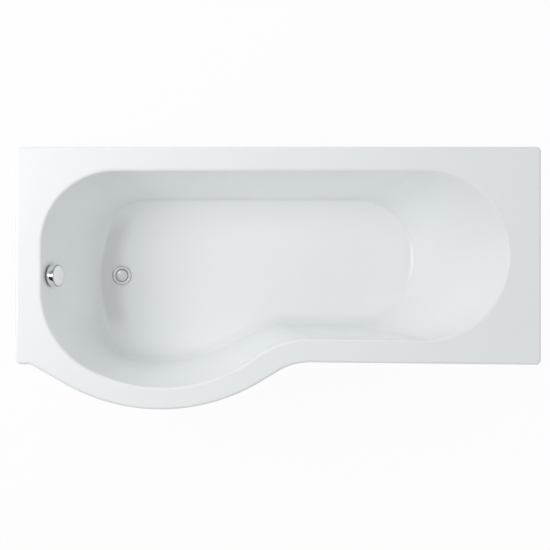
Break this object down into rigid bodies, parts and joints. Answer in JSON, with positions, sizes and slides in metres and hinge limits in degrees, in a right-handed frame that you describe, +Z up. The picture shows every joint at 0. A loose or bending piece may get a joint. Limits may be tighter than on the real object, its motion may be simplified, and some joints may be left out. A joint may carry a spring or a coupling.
{
  "type": "p shaped shower bath",
  "caption": "White acrylic bath with a bowed shower end, a sloping backrest, a turning overflow control that lifts the waste plug, and a steel cradle on adjustable feet.",
  "frame": {"origin": "middle of the footprint, on the ground under the foot pads", "axes": "+X from the waste end to the backrest end, +Y towards the wall side, +Z up"},
  "size_m": [1.7, 0.85, 0.55],
  "materials": {
    "acrylic": "high gloss cast acrylic",
    "glass_fibre": "sprayed glass fibre and resin, uneven",
    "board": "particle board under a thin resin coat",
    "batten": "planed softwood",
    "galvanised": "galvanised sheet with spangle",
    "zinc": "bright zinc plate",
    "chrome": "polished chrome plate",
    "rubber": "moulded rubber",
    "white_plastic": "moulded polypropylene, fine grain",
    "grey_plastic": "moulded acetal",
    "hose_plastic": "corrugated polyethylene",
    "cable_jacket": "smooth cable jacket",
    "pad_plastic": "moulded nylon"
  },
  "bodies": {
    "tub": {"bath_shell": "acrylic", "backing_skin": "glass_fibre", "base_board": "board", "wall_batten": "batten", "waste_end_batten": "batten", "head_end_batten": "batten", "bow_batten": "batten", "front_batten": "batten", "shower_rail": "galvanised", "head_rail": "galvanised", "middle_bracket": "galvanised", "frame_screws": "zinc", "leg_nuts": "zinc", "wall_brackets": "galvanised", "bracket_screws": "zinc", "waste_flange": "chrome", "flange_seal": "rubber", "waste_washer": "rubber", "waste_body": "white_plastic", "overflow_plate": "chrome", "plate_screws": "chrome", "overflow_gasket": "rubber", "overflow_body": "white_plastic", "overflow_hose": "hose_plastic", "upper_hose_nut": "white_plastic", "lower_hose_nut": "white_plastic", "control_cable": "cable_jacket", "cable_wires": "zinc"},
    "control": {"overflow_knob": "chrome", "knob_screw": "zinc", "control_spindle": "zinc", "cable_drum": "grey_plastic"},
    "plug": {"plug_cap": "chrome", "plug_seal": "rubber", "plug_stem": "grey_plastic", "lift_plunger": "grey_plastic"},
    "foot_shower_wall": {"stud_shower_wall": "zinc", "pad_shower_wall": "pad_plastic"},
    "foot_shower_front": {"stud_shower_front": "zinc", "pad_shower_front": "pad_plastic"},
    "foot_head_wall": {"stud_head_wall": "zinc", "pad_head_wall": "pad_plastic"},
    "foot_head_front": {"stud_head_front": "zinc", "pad_head_front": "pad_plastic"},
    "foot_middle": {"stud_middle": "zinc", "pad_middle": "pad_plastic"}
  },
  "joints": [
    {"name": "control_turn", "type": "hinge", "parent": "tub", "child": "control", "pos_m": [-0.74904, 0.008, 0.494], "axis": [0.9539, 0, 0.3002], "range_deg": [0, 90]},
    {"name": "plug_lift", "type": "slide", "parent": "tub", "child": "plug", "axis": [0, 0, 1], "range_m": [0, 0.01]},
    {"name": "foot_adjust_shower_wall", "type": "slide", "parent": "tub", "child": "foot_shower_wall", "axis": [0, 0, -1], "range_m": [0, 0.025]},
    {"name": "foot_adjust_shower_front", "type": "slide", "parent": "tub", "child": "foot_shower_front", "axis": [0, 0, -1], "range_m": [0, 0.025]},
    {"name": "foot_adjust_head_wall", "type": "slide", "parent": "tub", "child": "foot_head_wall", "axis": [0, 0, -1], "range_m": [0, 0.025]},
    {"name": "foot_adjust_head_front", "type": "slide", "parent": "tub", "child": "foot_head_front", "axis": [0, 0, -1], "range_m": [0, 0.025]},
    {"name": "foot_adjust_middle", "type": "slide", "parent": "tub", "child": "foot_middle", "axis": [0, 0, -1], "range_m": [0, 0.025]}
  ],
  "couplings": [
    {"joint": "plug_lift", "follows": "control_turn", "m_per_rad": 0.006366}
  ]
}
